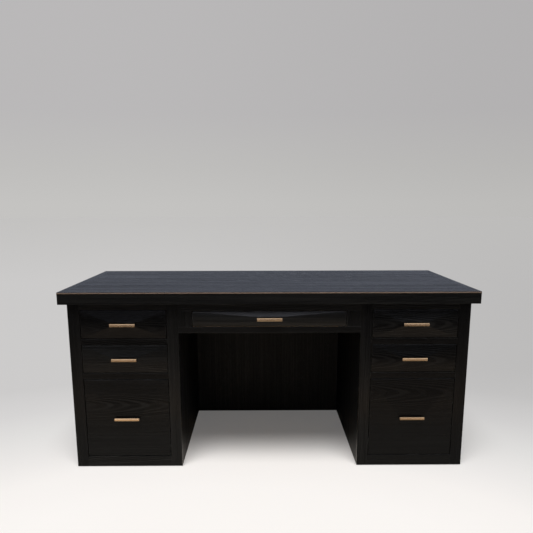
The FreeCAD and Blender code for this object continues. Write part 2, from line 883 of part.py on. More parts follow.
def check():
    """Stops unless every object was worked out and every sub-part is a sound solid."""
    for thing in document.Objects:
        if "Invalid" in thing.State or "Error" in thing.State:
            raise RuntimeError(f"{thing.Label} was not worked out")
    for label, thing in nodes.items():
        if thing.Shape.isNull() or not thing.Shape.isValid() or not thing.Shape.Solids:
            raise RuntimeError(f"{label} is not a sound solid")


def write():
    """Writes each sub-part to its own file."""
    os.makedirs("parts", exist_ok=True)
    for label, thing in nodes.items():
        thing.Shape.exportStep(f"parts/{label}.step")


make_sheet()
make_top()
for side, sign in SIDES:
    make_pedestal(side, sign)
make_centre()
make_glides()
make_brackets()
make_drawers()
document.recompute()
check()
write()
whole = Part.makeCompound([thing.Shape for thing in nodes.values()])
box = whole.BoundBox
print(f"{len(nodes)} sub-parts, {len(whole.Solids)} solids")
print(f"X {box.XMin:.2f} {box.XMax:.2f}  Y {box.YMin:.2f} {box.YMax:.2f}  Z {box.ZMin:.2f} {box.ZMax:.2f}")
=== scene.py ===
"""A wide pedestal desk in black open-grain oak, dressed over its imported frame.

Lengths are in metres, in the desk's own frame: X runs along it, Y from its front to its back and Z up.
A board is a surface worked out with numpy, and each of its points keeps its place in that board, so
that the grain runs along the board and stops at its ends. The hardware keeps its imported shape.
"""

import math
import zlib
from collections import namedtuple

import bmesh
import bpy
import numpy as np
from bpy.props import FloatProperty, FloatVectorProperty, PointerProperty
from mathutils import Matrix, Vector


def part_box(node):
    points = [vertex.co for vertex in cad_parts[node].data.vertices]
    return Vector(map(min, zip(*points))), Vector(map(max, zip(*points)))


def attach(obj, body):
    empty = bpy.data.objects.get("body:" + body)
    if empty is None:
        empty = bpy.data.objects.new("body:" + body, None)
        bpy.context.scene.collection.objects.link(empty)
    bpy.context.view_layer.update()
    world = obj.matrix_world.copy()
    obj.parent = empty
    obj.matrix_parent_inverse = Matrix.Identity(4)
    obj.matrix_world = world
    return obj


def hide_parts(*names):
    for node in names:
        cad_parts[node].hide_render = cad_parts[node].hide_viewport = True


bl_info = {
    "name": "Black Oak Pedestal Desk",
    "version": (1, 0, 0),
    "blender": (4, 5, 0),
    "location": "3D View > Sidebar > Desk",
    "description": "Makes the boards, pulls and finishes of a pedestal desk, and its studio",
    "category": "Add Mesh",
}

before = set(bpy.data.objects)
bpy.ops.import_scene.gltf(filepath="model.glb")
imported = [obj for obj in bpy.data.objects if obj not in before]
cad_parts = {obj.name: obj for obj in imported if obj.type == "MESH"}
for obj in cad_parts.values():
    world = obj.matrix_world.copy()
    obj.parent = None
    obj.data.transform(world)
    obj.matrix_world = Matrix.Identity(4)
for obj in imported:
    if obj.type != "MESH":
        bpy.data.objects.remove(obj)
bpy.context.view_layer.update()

MM = 0.001
ARC_STEPS = 3
SHARP = math.radians(50)
DRAWERS = ("left_top", "left_middle", "left_file", "centre", "right_top", "right_middle", "right_file")
SIDES = ("left", "right")
OAK, SHADED_FLAT_OAK, BIRCH, FRAME_BIRCH = "black_oak", "flat_black_oak", "drawer_birch", "frame_birch"
BRASS, LINE, ZINC, GLIDE = "satin_brass_bar", "satin_brass_line", "zinc_plate", "glide_plate"

# A closed surface: its points and faces, each point's place in its own board, the board's half size in
# the same directions, where in the log it was cut, how light its stain is, with painted light and shade,
# and how wide its leaves are.
Shell = namedtuple("Shell", "points faces board half figure stain leaf")

# Half the width up to which a board is cut beside the heart of the log.
NARROW = 0.03
# A board wider than FACED_FROM is faced with leaves of about LEAF. The others have one leaf.
FACED_FROM, LEAF, ONE_LEAF = 0.3, 0.17, 10.0

# Arrises of the top's veneered panel and the groove's upper lip, and of the metal line.
VENEER_ARRIS, LINE_ARRIS = 0.2 * MM, 0.4 * MM
# How far the ends of the top's edges stay apart in their mitres, halved.
MITRE_GAP = 0.1 * MM

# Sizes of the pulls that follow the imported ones.
BAR_THICKNESS, BAR_CHAMFER, BAR_ARRIS, BAR_END = 10 * MM, 3.2 * MM, 0.5 * MM, 0.6 * MM
POST_WIDTH, POST_ARRIS = 9 * MM, 0.9 * MM
# A screw's thread as a share of its head.
THREAD = 0.476
# How far a drawer's bottom reaches into its box's boards.
GROOVE_DEPTH = 1 * MM

# The studio's colours. A pair is a share of the way and the colour there.
BLACK = (0.0, 0.0, 0.0)
# The floor as the camera sees it, with a painted pool of light: from the pool's middle out to its reach,
# and far off.
PAINTED_POOL_REACH, FADE_FROM = 6.0, 9.0
PAINTED_POOL = (
    (0.00, (0.985, 0.950, 0.910)), (0.157, (0.970, 0.935, 0.905)), (0.212, (0.934, 0.900, 0.870)),
    (0.257, (0.839, 0.815, 0.795)), (0.313, (0.741, 0.730, 0.715)), (0.378, (0.641, 0.630, 0.625)),
    (0.467, (0.564, 0.556, 0.552)), (1.00, (0.553, 0.545, 0.541)),
)
FLOOR_FAR_OFF = (0.484, 0.477, 0.466)
# The floor as the desk's gloss sees it, a painted reflection that glows, from close in front to
# STRIP_REACH further out.
STRIP_REACH = 2.3
FLOOR_IN_GLOSS = (
    (0.00, (0.47, 0.43, 0.39)), (0.18, (0.86, 0.63, 0.45)), (0.36, (0.66, 0.55, 0.46)),
    (0.56, (0.26, 0.245, 0.240)), (1.00, (0.032, 0.030, 0.044)),
)
# The background from level to straight up: to the camera, and to gloss in front of the desk and behind.
BACKDROP = (
    (0.00, (0.553, 0.546, 0.534)), (0.05, (0.522, 0.515, 0.505)), (0.12, (0.491, 0.481, 0.484)),
    (1.00, (0.485, 0.474, 0.479)),
)
FRONT_IN_GLOSS = (
    (0.00, (0.03, 0.03, 0.04)), (0.28, (0.035, 0.04, 0.055)), (0.46, (4.60, 4.70, 5.50)),
    (0.62, (4.60, 4.70, 5.50)), (0.82, (1.60, 1.60, 1.75)), (1.00, (1.15, 1.13, 1.18)),
)
BACK_IN_GLOSS = (0.228, 0.248, 0.308)
# The floor and the background darken between these slopes across the view, towards the right: painted
# shade, as if less light fell there.
RIGHT_FROM, RIGHT_TO = -0.25, 0.45

# How light a board's stain or a pull's brass is, where it isn't the usual 1. The numbers were matched to
# how bright each piece looks, so they also hold painted light and shade: the right pedestal's rails,
# stiles and pull are painted darker, where less light reaches them, and the modesty panel and the rails
# under the top are painted lighter in their shade.
STAIN_AND_SHADE = {
    "centre_drawer_front": 2.1, "left_top_drawer_front": 0.45, "left_middle_drawer_front": 1.25,
    "left_file_drawer_front": 0.75, "right_top_drawer_front": 0.85, "right_middle_drawer_front": 0.5,
    "right_file_drawer_front": 0.45,
    "left_rails": 1.1, "left_rails 1": 0.55, "left_rails 2": 0.45, "left_rails 3": 1.7,
    "right_rails": 0.6, "right_rails 1": 0.3, "right_rails 2": 0.35, "right_rails 3": 1.7,
    "left_outer_stile": 0.7, "left_inner_stile": 1.3,
    "right_outer_stile": 0.3, "right_inner_stile": 0.75,
    "top_front_edge": 1.4, "modesty_panel": 5.0, "centre_top_rail": 1.7,
    "centre_end_blocks": 1.5, "centre_end_blocks 1": 1.2,
    "left_file_pull": 1.08, "right_file_pull": 0.72,
}

# Where a board was cut, if chance doesn't pick it: along the log, beside its heart and over it.
CUT = {
    "left_file_drawer_front": (0.35, -0.055, 0.0), "right_file_drawer_front": (0.75, -0.105, 0.0),
    "left_top_drawer_front": (-0.20, 0.020, 0.0), "right_top_drawer_front": (0.40, 0.005, -0.01),
    "left_middle_drawer_front": (0.70, 0.085, 0.01), "right_middle_drawer_front": (0.60, 0.012, 0.0),
    "centre_drawer_front": (0.0, 0.14, 0.0), "top_front_edge": (0.3, 0.11, 0.01),
    "centre_end_blocks": (0.0, 0.11, 0.0), "centre_end_blocks 1": (1.0, 0.12, 0.0),
    "right_inner_stile": (3.0, 0.13, 0.0),
}


# Sizes, colours and places that a user would change

def LengthProperty(name, description, default):
    """A length, which the sidebar shows in the scene's unit."""
    return FloatProperty(name=name, description=description, default=default, unit="LENGTH")


def AngleProperty(name, description, default):
    """An angle."""
    return FloatProperty(name=name, description=description, default=default, subtype="ANGLE")


def ColourProperty(name, description, default):
    """A colour with a picker."""
    return FloatVectorProperty(name=name, description=description, default=default, subtype="COLOR")


class DeskShape(bpy.types.PropertyGroup):
    """Small sizes of the desk's boards and fittings."""

    arris: LengthProperty("Arris", "Radius of a board's rounded edges", 0.0009)
    front_arris: LengthProperty("Front arris", "Radius of a drawer front's rounded edges", 0.0018)
    slab_arris: LengthProperty("Slab arris", "Setback of the rounding on the top's edges", 0.0005)
    line_depth: LengthProperty("Line depth", "How deep the metal line is let into the top's edge", 0.002)
    relief: LengthProperty("Relief", "How far a drawer front rises to its middle", 0.009)
    land_height: LengthProperty("Land height", "Height of the flat behind a pull", 0.018)
    land_margin: LengthProperty("Land margin", "Length of that flat past each end of the pull", 0.003)
    box_wall: LengthProperty("Box wall", "Thickness of a drawer box's boards", 0.012)
    box_bottom: LengthProperty("Box bottom", "Thickness of a drawer's bottom", 0.006)
    groove_rise: LengthProperty(
        "Groove rise", "Height of a drawer's bottom above its sides' lower edges", 0.010,
    )


class DeskFinish(bpy.types.PropertyGroup):
    """Colours of the desk's materials."""

    oak_dark: ColourProperty("Oak, dark", "Stain in the oak's dense wood", (0.0014, 0.0014, 0.0013))
    oak_light: ColourProperty("Oak, light", "Stain in the oak's open wood", (0.0224, 0.0219, 0.0205))
    birch_dark: ColourProperty("Birch, dark", "Late wood of the drawer boxes", (0.52, 0.36, 0.21))
    birch_light: ColourProperty("Birch, light", "Early wood of the drawer boxes", (0.74, 0.60, 0.42))
    brass: ColourProperty("Brass", "Satin brass of the pulls", (0.425, 0.304, 0.180))
    brass_dark: ColourProperty("Brass, dark", "Brass where it has dulled", (0.33, 0.215, 0.118))
    line: ColourProperty("Line", "Dulled brass of the line in the top's edge", (0.385, 0.287, 0.206))
    zinc: ColourProperty("Zinc", "Plating of the slides and brackets", (0.55, 0.56, 0.58))
    zinc_dark: ColourProperty("Zinc, dark", "Darker spangles of the plating", (0.40, 0.41, 0.43))


class DeskStudio(bpy.types.PropertyGroup):
    """The floor, the background, the lamps and the camera."""

    camera_place: FloatVectorProperty(
        name="Camera place", description="Where the camera stands", subtype="TRANSLATION",
        default=(-0.0361, -3.2145, 1.1079),
    )
    camera_pitch: AngleProperty("Camera pitch", "How far the camera looks down", math.radians(13.833))
    camera_yaw: AngleProperty("Camera yaw", "How far the camera turns to the left", math.radians(-0.475))
    camera_roll: AngleProperty("Camera roll", "How far the camera leans", math.radians(-0.103))
    lens: FloatProperty(name="Lens", description="Focal length in millimetres", default=45.987)
    lens_rise: FloatProperty(
        name="Lens rise", description="Vertical shift as a share of the frame", default=0.1976,
    )
    # Middle of the pool of light that is painted into the floor's colour.
    painted_pool_place: FloatVectorProperty(
        name="Pool place", description="Middle of the pool of light on the floor", subtype="TRANSLATION",
        default=(-0.15, -1.6, 0.0),
    )
    floor_radius: LengthProperty("Floor radius", "Radius of the floor", 60.0)
    key_strength: FloatProperty(
        name="Key strength", description="Strength of the soft lamp above the front", default=3.0,
    )
    key_spread: AngleProperty("Key spread", "Width of that lamp as the desk sees it", math.radians(34))
    key_height: AngleProperty("Key height", "Angle of that lamp above the floor", math.radians(68.7))
    key_side: AngleProperty(
        "Key side", "How far that lamp stands to the left, negative", math.radians(-5),
    )
    fill_strength: FloatProperty(
        name="Fill", description="Strength of the studio's own light", default=0.12,
    )


# Nodes of a material

class Value:
    """A number in a node tree, which adds the Math nodes of an expression that it is used in."""

    def __init__(self, tree, socket):
        self.tree = tree
        self.socket = socket

    def _math(self, operation, first, second):
        node = self.tree.nodes.new("ShaderNodeMath")
        node.operation = operation
        for place, value in zip(node.inputs, (first, second)):
            if isinstance(value, Value):
                self.tree.links.new(value.socket, place)
            else:
                place.default_value = value
        return Value(self.tree, node.outputs[0])

    def __add__(self, other):
        return self._math("ADD", self, other)

    def __radd__(self, other):
        return self._math("ADD", other, self)

    def __sub__(self, other):
        return self._math("SUBTRACT", self, other)

    def __rsub__(self, other):
        return self._math("SUBTRACT", other, self)

    def __mul__(self, other):
        return self._math("MULTIPLY", self, other)

    def __rmul__(self, other):
        return self._math("MULTIPLY", other, self)

    def __truediv__(self, other):
        return self._math("DIVIDE", self, other)

    def __rtruediv__(self, other):
        return self._math("DIVIDE", other, self)

    def __pow__(self, other):
        return self._math("POWER", self, other)


class Finish:
    """A node tree under construction: of a material, or of the world."""

    def __init__(self, owner):
        owner.use_nodes = True
        self.owner = owner
        self.tree = owner.node_tree
        self.tree.nodes.clear()

    def add(self, kind, settings=(), inputs=(), output=0):
        """A node of this kind with its settings, then its sockets' values or links; gives an output."""
        node = self.tree.nodes.new(kind)
        for name, value in dict(settings).items():
            if name == "stops":
                self._set_stops(node.color_ramp, value)
            else:
                setattr(node, name, value)
        for name, value in dict(inputs).items():
            if isinstance(value, Value):
                self.tree.links.new(value.socket, node.inputs[name])
            else:
                node.inputs[name].default_value = value
        return Value(self.tree, node.outputs[output]) if node.outputs else None

    @staticmethod
    def _set_stops(ramp, stops):
        while len(ramp.elements) < len(stops):
            ramp.elements.new(1.0)
        for element, (position, colour) in zip(ramp.elements, stops):
            element.position = position
            element.color = (*colour, 1.0)

    def mix(self, factor, first, second):
        """The first colour where the factor is 0 and the second where it is 1."""
        ends = [value if isinstance(value, Value) else (*value, 1.0) for value in (first, second)]
        return self.add(
            "ShaderNodeMix", {"data_type": "RGBA"}, {0: factor, 6: ends[0], 7: ends[1]}, output=2,
        )

    def ramp(self, value, stops):
        """The colour at this share of the way along the stops."""
        return self.add("ShaderNodeValToRGB", {"stops": stops}, {"Fac": value})

    def vector(self, operation, first, second):
        """One Vector Math node."""
        return self.add("ShaderNodeVectorMath", {"operation": operation}, {0: first, 1: second})

    def attribute(self, name, output="Vector"):
        """A vector, or a number with the output Fac, that each point of the piece carries."""
        return self.add("ShaderNodeAttribute", {"attribute_name": name}, output=output)

    def parts(self, vector):
        """The three numbers of a vector."""
        return [self.add("ShaderNodeSeparateXYZ", (), {0: vector}, output=n) for n in range(3)]

    def math(self, operation, *values):
        """One Math node, for what isn't a sum, a product or a power."""
        return self.add("ShaderNodeMath", {"operation": operation}, dict(enumerate(values)))

    def chance(self, number):
        """A number from 0 to 1 that each whole number has for itself."""
        return self.add("ShaderNodeTexWhiteNoise", {"noise_dimensions": "1D"}, {"W": number})

    def scaled(self, colour, factor):
        """A colour times a number."""
        return self.add("ShaderNodeVectorMath", {"operation": "SCALE"}, {0: colour, "Scale": factor})

    def camera_and_gloss(self):
        """1 on a ray from the camera, and 1 on a ray that a glossy surface sends out."""
        rays = ("Is Camera Ray", "Is Glossy Ray")
        return [self.add("ShaderNodeLightPath", output=name) for name in rays]

    def noise(self, place, stretch, detail=2.0):
        """Soft noise from 0 to 1 whose cells are one over the stretch long in each direction."""
        stretched = self.vector("MULTIPLY", place, stretch)
        return self.add("ShaderNodeTexNoise", (), {"Vector": stretched, "Scale": 1.0, "Detail": detail})

    def ease(self, value, low, high):
        """0 below low and 1 above high, with a smooth step between; high may be the lower one."""
        return self.add(
            "ShaderNodeMapRange", {"interpolation_type": "SMOOTHSTEP"},
            {"Value": value, "From Min": low, "From Max": high},
        )

    def shade(self, constants, inputs, height, relief):
        """A Principled shader with set numbers, varying inputs and a bump, as the material's surface."""
        bump = self.add(
            "ShaderNodeBump", (), {"Height": height, "Distance": relief, "Strength": 1.0},
        )
        shader = self.add("ShaderNodeBsdfPrincipled", (), {**constants, **inputs, "Normal": bump})
        self.add("ShaderNodeOutputMaterial", (), {"Surface": shader})


def new_finish(name):
    """An empty material's nodes."""
    return Finish(bpy.data.materials.new(name))


# Materials

def wood(name, dark, light, place_of, wear_of, look):
    """Wood with growth rings, streaks and open pores.

    A place runs along the grain, across the board and through it. The rings are cylinders about a heart
    that lies look["heart"] under the board and climbs by look["climb"], so flat boards show cathedrals.
    A ring's number picks its tone, and its early part holds most of the pores. wear_of tells where the
    arrises are rubbed, on boards that also have a lightness of their own: their stain with painted light
    and shade.
    """
    finish = new_finish(name)
    place, tone_of_leaf = place_of(finish)
    along, across, through = finish.parts(place)
    sway = finish.noise(place, (2.2, 9.0, 9.0), 3.0) - 0.5
    depth = through + along * look["climb"] + sway * look["sway"] + look["heart"]
    side = across + (finish.noise(place, (1.3, 4.0, 4.0)) - 0.5) * look["sway"]
    ring = (depth * depth + side * side) ** 0.5 / look["ring"]
    number = finish.math("FLOOR", ring)
    tone = finish.chance(number)
    # A ring starts with its early wood, which ends softly about half way through it.
    phase = ring - number
    early = finish.ease(phase, 0.0, 0.18) * finish.ease(phase, 0.62, 0.38)
    streak = finish.noise(place, (1.6, 130.0, 130.0), 3.0)
    vessels = finish.noise(place, (55.0, 1500.0, 1500.0), 1.0) + early * 0.09
    pores = finish.ease(vessels, look["pore_edge"], look["pore_edge"] + 0.09)
    figure = early * (0.35 + tone * 0.65) * look["contrast"] + finish.ease(streak, 0.35, 0.7) * 0.2
    colour = finish.mix(figure, dark, light)
    if wear_of:
        # The board's own lightness, its stain with painted light and shade, times its leaf's tone.
        colour = finish.scaled(colour, finish.attribute("stain", "Fac") * tone_of_leaf)
    colour = finish.mix(pores * look["pore_stain"], colour, [0.45 * part for part in dark])
    # Soft waves along the grain that the polishing leaves.
    band = finish.noise(place, (0.9, 26.0, 26.0), 3.0)
    rough = look["rough"] + pores * 0.16 - figure * look["sheen"] + (band - 0.5) * look["bands"]
    if wear_of:
        rubbed = wear_of(finish) * finish.ease(finish.noise(place, (9.0, 60.0, 60.0)), 0.35, 0.75)
        colour = finish.mix(rubbed * look["worn"], colour, [2.2 * part for part in light])
        rough = rough - rubbed * 0.08
    height = 1.0 - pores * 0.18 - early * 0.3 + streak * 0.15 + band * look["bands"] * 1.5
    varying = {"Base Color": colour, "Roughness": rough}
    finish.shade(look["shader"], varying, height, look["relief"])


def place_in_board(finish):
    """Each point's place in its board, moved to the board's part of the log, and its leaf's tone.

    A wide panel is faced with leaves of equal width. A leaf's number is its place across, counted in
    leaves from the middle one, and each is cut further along the log than the one before.
    """
    along, across, through = finish.parts(finish.attribute("board"))
    width = finish.attribute("leaf", "Fac")
    number = finish.math("FLOOR", across / width + 0.5)
    divided = finish.ease(width, 1.0, 0.9)
    start = finish.parts(finish.attribute("figure"))[0]
    turn = (finish.chance(number + start) - 0.5) * divided
    place = finish.add("ShaderNodeCombineXYZ", (), {
        0: along + number * 1.7, 1: across - number * width + turn * 0.07, 2: through + turn * 0.04,
    })
    return finish.vector("ADD", place, finish.attribute("figure")), 1.0 + turn * 0.30


def place_along_x(finish):
    """Each point's place in the desk, for boards whose grain runs along it, and an even tone."""
    coordinates = finish.add("ShaderNodeTexCoord", output=3)
    return finish.vector("ADD", coordinates, (0.31, 0.17, 0.05)), 1.0


def near_arris(finish):
    """1 on a board's arrises and 0 from a few millimetres inside them.

    A point's distances to the board's three pairs of faces are half size less place. The least of
    them is 0 on the surface, and the middle one is the distance to the nearest arris.
    """
    places = finish.parts(finish.attribute("board"))
    halves = finish.parts(finish.attribute("half"))
    a, b, c = [half - finish.math("ABSOLUTE", place) for half, place in zip(halves, places)]
    lesser, greater = finish.math("MINIMUM", a, b), finish.math("MAXIMUM", a, b)
    middle = finish.math("MAXIMUM", lesser, finish.math("MINIMUM", greater, c))
    return finish.ease(middle, 2.2 * MM, 0.4 * MM)


def metal(name, bright, dull, stretch, look):
    """Satin metal: fine lines of the brush along the piece, and soft patches where it has dulled.

    A toned metal is also as light as its piece's own number says, which holds painted light and shade.
    """
    finish = new_finish(name)
    place = finish.add("ShaderNodeTexCoord", output=3)
    brushed = finish.noise(place, stretch)
    patch = finish.ease(finish.noise(place, look["patches"]), 0.38, 0.68)
    colour = finish.mix(patch * 0.45 + brushed * 0.35, bright, dull)
    if look["toned_and_shaded"]:
        # The piece's own lightness, with painted light and shade.
        colour = finish.scaled(colour, finish.attribute("stain", "Fac"))
    rough = look["rough"] + patch * 0.08 + brushed * 0.06
    finish.shade({"Metallic": 1.0}, {"Base Color": colour, "Roughness": rough}, brushed, look["relief"])


def make_finishes(colours):
    """Makes all of the desk's materials."""
    oak = {
        "heart": 0.050, "climb": 0.050, "sway": 0.014, "ring": 0.0040, "contrast": 0.7,
        "pore_edge": 0.60, "pore_stain": 0.7, "rough": 0.28, "sheen": 0.13, "bands": 0.35, "worn": 0.35,
        "relief": 0.00026, "shader": {"Specular IOR Level": 0.10},
    }
    # A shaded copy of the oak for the kneehole's boards: painted shade, less glossy than the rest.
    shaded_flat_oak = {**oak, "rough": 0.42, "contrast": 0.15, "shader": {"Specular IOR Level": 0.06}}
    birch = {
        "heart": 0.08, "climb": 0.02, "sway": 0.010, "ring": 0.0060, "contrast": 0.7,
        "pore_edge": 0.66, "pore_stain": 0.25, "rough": 0.42, "sheen": 0.04, "bands": 0.0, "worn": 0.0,
        "relief": 0.00003, "shader": {"Specular IOR Level": 0.4},
    }
    line = {"patches": (9.0, 30.0, 30.0), "rough": 0.30, "relief": 0.00002, "toned_and_shaded": True}
    brass = {**line, "rough": 0.23}
    zinc = {"patches": (60.0, 60.0, 60.0), "rough": 0.36, "relief": 0.00003, "toned_and_shaded": False}
    stain = colours.oak_dark, colours.oak_light
    # The boards in the kneehole take a shaded copy of the oak, less glossy and with an evened-out
    # figure, which paints in the kneehole's shade.
    calm_shaded = [[share * part for part in colours.oak_light] for share in (0.15, 0.60)]
    bare = colours.birch_dark, colours.birch_light
    dulled = [0.7 * part for part in colours.line]
    brushed_along = (25.0, 1400.0, 1400.0)
    wood(OAK, *stain, place_in_board, near_arris, oak)
    wood(SHADED_FLAT_OAK, *calm_shaded, place_in_board, near_arris, shaded_flat_oak)
    wood(BIRCH, *bare, place_in_board, None, birch)
    wood(FRAME_BIRCH, *bare, place_along_x, None, birch)
    metal(BRASS, colours.brass, colours.brass_dark, brushed_along, brass)
    metal(LINE, colours.line, dulled, brushed_along, line)
    metal(ZINC, colours.zinc, colours.zinc_dark, (900.0, 40.0, 900.0), zinc)
    metal(GLIDE, colours.zinc_dark, colours.zinc, (300.0, 300.0, 40.0), zinc)


# Surfaces

def signed_volume(points, polygons):
    """Volume that a fan over each polygon adds, positive where the faces turn outwards."""
    corners = points[polygons]
    crosses = np.cross(corners[:, 1:-1], corners[:, 2:])
    return np.einsum("fc,fkc->", corners[:, 0], crosses) / 6


def skin(rings, joined=False):
    """Faces over closed loops of points, turned outwards.

    Face (i, j) joins points j and j + 1 of loops i and i + 1. The last loop joins the first, or else
    one face closes each end.
    """
    loops, around = rings.shape[:2]
    i, j = np.meshgrid(np.arange(loops if joined else loops - 1), np.arange(around), indexing="ij")
    here, there = i * around, (i + 1) % loops * around
    ahead = (j + 1) % around
    quads = np.stack((here + j, here + ahead, there + ahead, there + j), axis=-1).reshape(-1, 4)
    first = np.arange(around)[None, ::-1]
    last = first[:, ::-1] + (loops - 1) * around
    ends = [] if joined else [first, last]
    points = rings.reshape(-1, 3)
    volume = sum(signed_volume(points, faces) for faces in [quads, *ends])
    turned = [faces if volume > 0 else faces[:, ::-1] for faces in [quads, *ends]]
    return points, [face for faces in turned for face in faces.tolist()]


def board_axes(half, along):
    """The axes along, across and through a board: its grain's, then the wide one and the thin one."""
    others = sorted((axis for axis in range(3) if axis != along), key=lambda axis: -half[axis])
    return [along, *others]


def as_board(name, rings, middle, half, along, joined=False):
    """A shell whose points know their place in a board of this middle and half size."""
    points, faces = skin(rings, joined)
    axes = board_axes(half, along)
    half = np.asarray(half)[axes]
    chance = np.random.default_rng(zlib.crc32(name.encode()))
    # Beside the heart the rings stand across a narrow board and its grain is straight.
    if half[1] < NARROW:
        beside = chance.choice((-1, 1)) * chance.uniform(0.10, 0.15)
    else:
        beside = chance.uniform(-0.03, 0.03)
    figure = CUT.get(name, (chance.uniform(-5.0, 5.0), beside, chance.uniform(-0.02, 0.02)))
    wide = 2 * half[1]
    faced = wide > FACED_FROM and "drawer" not in name
    leaf = wide / round(wide / LEAF) if faced else ONE_LEAF
    board = (points - middle)[:, axes]
    return Shell(points, faces, board, half, np.array(figure), STAIN_AND_SHADE.get(name, 1.0), leaf)


def rectangle_loops(half_u, half_v, radius, height):
    """Rectangles with rounded corners, one for each height.

    On corner q the angle runs from 90 q to 90 (q + 1) degrees, and a point is the arc's centre plus
    radius * (cos angle, sin angle). The centre lies one radius inside both sides.
    """
    quarter = np.repeat(np.arange(4), ARC_STEPS + 1)
    angle = (quarter + np.tile(np.linspace(0, 1, ARC_STEPS + 1), 4)) * np.pi / 2
    side_u = np.array([1, -1, -1, 1])[quarter]
    side_v = np.array([1, 1, -1, -1])[quarter]
    half_u, half_v, radius, height = [
        np.asarray(row, float)[:, None] for row in np.broadcast_arrays(half_u, half_v, radius, height)
    ]
    u = side_u * (half_u - radius) + radius * np.cos(angle)
    v = side_v * (half_v - radius) + radius * np.sin(angle)
    return np.stack((u, v, np.broadcast_to(height, u.shape)), axis=-1)


def arris_rows(arris):
    """Inset and rise of the loops round an arris, from the end face to the side.

    At angle a the inset is arris * (1 - cos a) and the rise is arris * (1 - sin a).
    """
    angle = np.linspace(np.pi / 2, 0, ARC_STEPS + 1)
    return arris * (1 - np.cos(angle)), arris * (1 - np.sin(angle))


def eased_board(name, low, high, along, arris):
    """A board with rounded arrises: rounded outlines stacked along Z and drawn in at both ends."""
    low, high = np.array(low), np.array(high)
    middle, half = (low + high) / 2, (high - low) / 2
    inset, rise = arris_rows(arris)
    insets = np.concatenate((inset, inset[::-1]))
    heights = np.concatenate((rise - half[2], (half[2] - rise)[::-1]))
    loops = rectangle_loops(half[0] - insets, half[1] - insets, arris - insets, heights)
    return as_board(name, loops + middle, middle, half, along)


def eased_outline(corners, setbacks):
    """A closed outline whose corners are rounded.

    Each corner p becomes the curve (1 - s)^2 a + 2 s (1 - s) p + s^2 b for s from 0 to 1, where a and b
    lie one setback from p towards the corners before and after it.
    """
    corners = np.array(corners, float)
    setbacks = np.broadcast_to(setbacks, len(corners))[:, None]
    before = np.roll(corners, 1, axis=0) - corners
    after = np.roll(corners, -1, axis=0) - corners
    start = corners + setbacks * before / np.linalg.norm(before, axis=1, keepdims=True)
    end = corners + setbacks * after / np.linalg.norm(after, axis=1, keepdims=True)
    s = np.linspace(0, 1, ARC_STEPS + 1)[None, :, None]
    a, p, b = start[:, None], corners[:, None], end[:, None]
    return ((1 - s) ** 2 * a + 2 * s * (1 - s) * p + s ** 2 * b).reshape(-1, 2)


def solid_boxes(node):
    """The lowest and highest corner of each separate solid of a CAD node.

    Every point starts with its own number. Each triangle gives its points the lowest number among
    them, again and again until nothing changes, and then each solid has one number.
    """
    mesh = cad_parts[node].data
    places = np.empty(len(mesh.vertices) * 3)
    mesh.vertices.foreach_get("co", places)
    corners = np.empty(len(mesh.loops), dtype=np.int32)
    mesh.loops.foreach_get("vertex_index", corners)
    points, same = np.unique(places.reshape(-1, 3).round(6), axis=0, return_inverse=True)
    triangles = same.reshape(-1)[corners].reshape(-1, 3)
    number = np.arange(len(points))
    settled = False
    while not settled:
        lower = number.copy()
        np.minimum.at(lower, triangles.ravel(), np.repeat(number[triangles].min(axis=1), 3))
        settled = np.array_equal(lower, number)
        number = lower
    solids = [points[number == one] for one in np.unique(number)]
    return [(solid.min(axis=0), solid.max(axis=0)) for solid in solids]


# Pieces

def add_piece(name, shells, material, body, slot, *nodes):
    """One object of closed shells that rides on a body and stands for CAD nodes. Its slot is not used.
    """
    sizes = [len(shell.points) for shell in shells]
    starts = np.cumsum([0, *sizes])
    faces = [
        [start + corner for corner in face]
        for start, shell in zip(starts, shells) for face in shell.faces
    ]
    mesh = bpy.data.meshes.new(name)
    mesh.from_pydata(np.concatenate([shell.points for shell in shells]).tolist(), [], faces)
    rows = {
        "board": np.concatenate([shell.board for shell in shells]),
        "half": np.repeat([shell.half for shell in shells], sizes, axis=0),
        "figure": np.repeat([shell.figure for shell in shells], sizes, axis=0),
    }
    for key, values in rows.items():
        mesh.attributes.new(key, "FLOAT_VECTOR", "POINT").data.foreach_set("vector", values.ravel())
    for key in ("stain", "leaf"):
        values = np.repeat([getattr(shell, key) for shell in shells], sizes)
        mesh.attributes.new(key, "FLOAT", "POINT").data.foreach_set("value", values)
    merge_corners(mesh, starts)
    mesh.materials.append(bpy.data.materials[material])
    mesh.polygons.foreach_set("use_smooth", [True] * len(mesh.polygons))
    mesh.set_sharp_from_angle(angle=SHARP)
    piece = bpy.data.objects.new(name, mesh)
    bpy.context.scene.collection.objects.link(piece)
    flat = piece.modifiers.new("Flat faces", "WEIGHTED_NORMAL")
    flat.mode = "FACE_AREA"
    flat.keep_sharp = True
    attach(piece, body)
    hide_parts(*nodes)


def merge_corners(mesh, starts):
    """Joins the points of a board that share a corner where an arc has no radius left.

    Two boards that touch keep their own points, which carry different places in their boards.
    """
    made = bmesh.new()
    made.from_mesh(mesh)
    points = list(made.verts)
    for first, last in zip(starts, starts[1:]):
        bmesh.ops.remove_doubles(made, verts=points[first:last], dist=1e-7)
    made.to_mesh(mesh)
    made.free()


def dress(node, material):
    """Gives a CAD node a material and leaves its shape."""
    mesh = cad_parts[node].data
    mesh.materials.clear()
    mesh.materials.append(bpy.data.materials[material])


def boards_of(node, along, arris):
    """An eased board for each solid of a CAD node."""
    return [
        eased_board(f"{node} {count}" if count else node, low, high, along, arris)
        for count, (low, high) in enumerate(solid_boxes(node))
    ]


def oak_boards(along, arris, *nodes, finish=OAK):
    """Fixed oak boards that stand for CAD nodes, a piece for each node."""
    for node in nodes:
        add_piece(f"{node}_oak", boards_of(node, along, arris), finish, "desk", "ebonised_oak", node)


